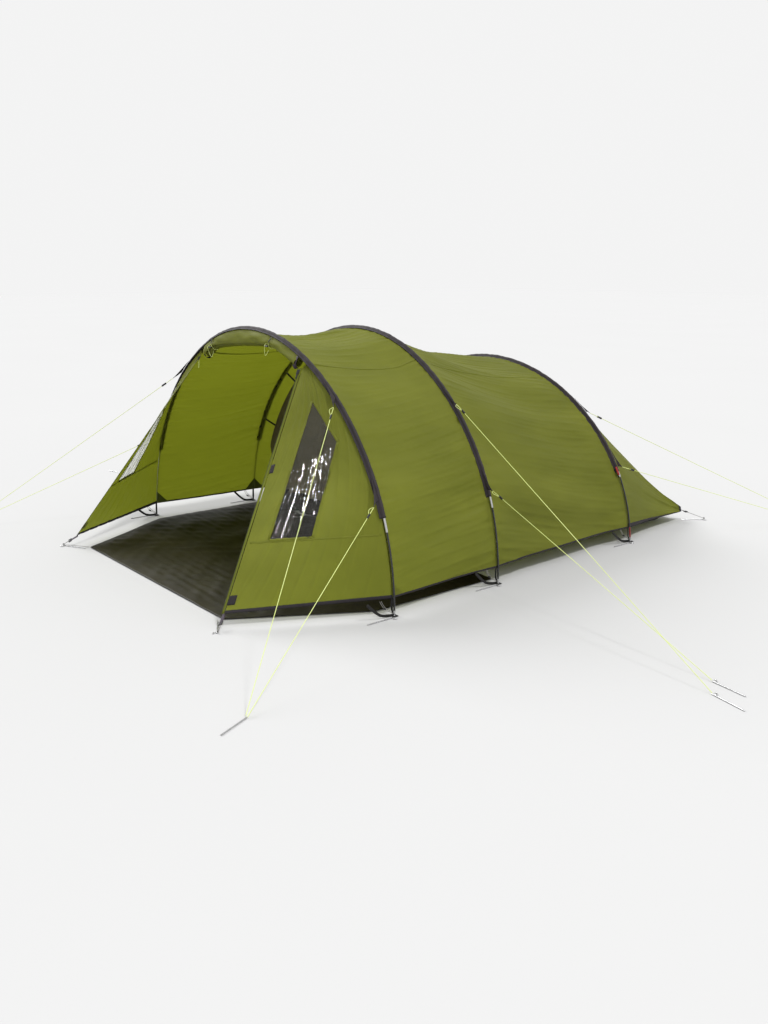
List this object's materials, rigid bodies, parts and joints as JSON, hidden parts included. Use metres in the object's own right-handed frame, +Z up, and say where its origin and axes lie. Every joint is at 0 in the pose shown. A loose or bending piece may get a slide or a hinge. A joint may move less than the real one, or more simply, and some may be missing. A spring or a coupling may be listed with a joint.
{
  "type": "tunnel tent",
  "caption": "Tunnel tent with an arched fly over flexible hoops, an open porch with a rolled-up door, a hung inner tent and taut guy lines.",
  "frame": {"origin": "on the ground, at the middle of the box round the tent without its guy lines and their pegs", "axes": "+Z up, +Y from the porch towards the back, +X to the right of someone who looks in at the porch"},
  "size_m": [5.7102, 4.8503, 1.349],
  "materials": {
    "galvanised_wire": "bright",
    "guy_cord": "braided",
    "black_plastic": "satin",
    "slider_metal": "satin",
    "pole_fibreglass": "smooth",
    "ferrule_steel": "brushed",
    "sleeve_fabric": "woven",
    "fly_fabric": "woven, thin enough to glow",
    "clear_pvc": "clear",
    "zip_tape": "woven",
    "black_webbing": "woven",
    "groundsheet_pe": "satin",
    "inner_fabric": "woven"
  },
  "bodies": {
    "root": {"rear_pole": "pole_fibreglass", "rear_ferrules": "ferrule_steel", "rear_sleeve": "sleeve_fabric", "rear_straps": "black_webbing", "rear_pegs": "galvanised_wire", "fly_middle_bay": "fly_fabric", "fly_rear_panel": "fly_fabric", "inner_canopy": "inner_fabric", "inner_floor": "groundsheet_pe", "guy_pegs_rear": "galvanised_wire", "guy_rear_upper_right": "guy_cord", "guy_rear_upper_left": "guy_cord", "guy_rear_lower_right": "guy_cord", "guy_rear_lower_left": "guy_cord"},
    "middle_hoop": {"middle_pole": "pole_fibreglass", "middle_ferrules": "ferrule_steel", "middle_sleeve": "sleeve_fabric", "middle_straps": "black_webbing", "middle_pegs": "galvanised_wire", "fly_front_bay": "fly_fabric", "porch_groundsheet": "groundsheet_pe", "inner_front_wall": "inner_fabric", "inner_hooks": "black_webbing", "guy_pegs_middle": "galvanised_wire", "guy_middle_upper_right": "guy_cord", "guy_middle_upper_left": "guy_cord", "guy_middle_lower_right": "guy_cord", "guy_middle_lower_left": "guy_cord"},
    "front_hoop": {"front_pole": "pole_fibreglass", "front_ferrules": "ferrule_steel", "front_sleeve": "sleeve_fabric", "front_straps": "black_webbing", "front_pegs": "galvanised_wire", "front_wing_right": "fly_fabric", "front_wing_left": "fly_fabric", "wing_windows": "clear_pvc", "door_zips": "zip_tape", "door_roll": "fly_fabric", "door_ties": "guy_cord", "door_toggles": "black_plastic", "guy_pegs_front": "galvanised_wire", "guy_front_upper_right": "guy_cord", "guy_front_upper_left": "guy_cord", "guy_front_lower_right": "guy_cord", "guy_front_lower_left": "guy_cord"},
    "zip_slider_right": {"zip_slider_right": "slider_metal"},
    "zip_slider_left": {"zip_slider_left": "slider_metal"},
    "inner_door": {"inner_door": "inner_fabric"},
    "runner_front_upper_right": {"runner_front_upper_right": "black_plastic"},
    "runner_front_upper_left": {"runner_front_upper_left": "black_plastic"},
    "runner_front_lower_right": {"runner_front_lower_right": "black_plastic"},
    "runner_front_lower_left": {"runner_front_lower_left": "black_plastic"},
    "runner_middle_upper_right": {"runner_middle_upper_right": "black_plastic"},
    "runner_middle_upper_left": {"runner_middle_upper_left": "black_plastic"},
    "runner_middle_lower_right": {"runner_middle_lower_right": "black_plastic"},
    "runner_middle_lower_left": {"runner_middle_lower_left": "black_plastic"},
    "runner_rear_upper_right": {"runner_rear_upper_right": "black_plastic"},
    "runner_rear_upper_left": {"runner_rear_upper_left": "black_plastic"},
    "runner_rear_lower_right": {"runner_rear_lower_right": "black_plastic"},
    "runner_rear_lower_left": {"runner_rear_lower_left": "black_plastic"}
  },
  "joints": [
    {"name": "middle_hoop_slide", "type": "slide", "parent": "root", "child": "middle_hoop", "axis": [0, 1, 0], "range_m": [0, 0.75], "deforming": ["fly_middle_bay", "inner_canopy", "inner_floor"]},
    {"name": "front_hoop_slide", "type": "slide", "parent": "middle_hoop", "child": "front_hoop", "axis": [0, 1, 0], "range_m": [0, 0.45], "deforming": ["fly_front_bay", "porch_groundsheet"]},
    {"name": "inner_door_swing", "type": "hinge", "parent": "middle_hoop", "child": "inner_door", "pos_m": [-0.4, -0.2248, 0.4], "axis": [0, 0, -1], "range_deg": [0, 95]},
    {"name": "zip_slider_right_travel", "type": "slide", "parent": "front_hoop", "child": "zip_slider_right", "axis": [0.2591, -0.5322, -0.806], "range_m": [0, 1.2]},
    {"name": "zip_slider_left_travel", "type": "slide", "parent": "front_hoop", "child": "zip_slider_left", "axis": [-0.2591, -0.5322, -0.806], "range_m": [0, 1.2]},
    {"name": "runner_front_upper_right_travel", "type": "slide", "parent": "front_hoop", "child": "runner_front_upper_right", "axis": [0.5172, -0.6418, -0.5662], "range_m": [-0.04, 0.2]},
    {"name": "runner_front_upper_left_travel", "type": "slide", "parent": "front_hoop", "child": "runner_front_upper_left", "axis": [-0.5172, -0.6418, -0.5662], "range_m": [-0.04, 0.2]},
    {"name": "runner_front_lower_right_travel", "type": "slide", "parent": "front_hoop", "child": "runner_front_lower_right", "axis": [0.4237, -0.8134, -0.3986], "range_m": [-0.04, 0.2]},
    {"name": "runner_front_lower_left_travel", "type": "slide", "parent": "front_hoop", "child": "runner_front_lower_left", "axis": [-0.4237, -0.8134, -0.3986], "range_m": [-0.04, 0.2]},
    {"name": "runner_middle_upper_right_travel", "type": "slide", "parent": "middle_hoop", "child": "runner_middle_upper_right", "axis": [0.8785, -0.1657, -0.448], "range_m": [-0.04, 0.2]},
    {"name": "runner_middle_upper_left_travel", "type": "slide", "parent": "middle_hoop", "child": "runner_middle_upper_left", "axis": [-0.8785, -0.1657, -0.448], "range_m": [-0.04, 0.2]},
    {"name": "runner_middle_lower_right_travel", "type": "slide", "parent": "middle_hoop", "child": "runner_middle_lower_right", "axis": [0.9362, -0.1483, -0.3187], "range_m": [-0.04, 0.2]},
    {"name": "runner_middle_lower_left_travel", "type": "slide", "parent": "middle_hoop", "child": "runner_middle_lower_left", "axis": [-0.9362, -0.1483, -0.3187], "range_m": [-0.04, 0.2]},
    {"name": "runner_rear_upper_right_travel", "type": "slide", "parent": "root", "child": "runner_rear_upper_right", "axis": [0.4945, 0.7585, -0.4244], "range_m": [-0.04, 0.2]},
    {"name": "runner_rear_upper_left_travel", "type": "slide", "parent": "root", "child": "runner_rear_upper_left", "axis": [-0.4945, 0.7585, -0.4244], "range_m": [-0.04, 0.2]},
    {"name": "runner_rear_lower_right_travel", "type": "slide", "parent": "root", "child": "runner_rear_lower_right", "axis": [0.4237, 0.8573, -0.2924], "range_m": [-0.04, 0.2]},
    {"name": "runner_rear_lower_left_travel", "type": "slide", "parent": "root", "child": "runner_rear_lower_left", "axis": [-0.4237, 0.8573, -0.2924], "range_m": [-0.04, 0.2]}
  ]
}
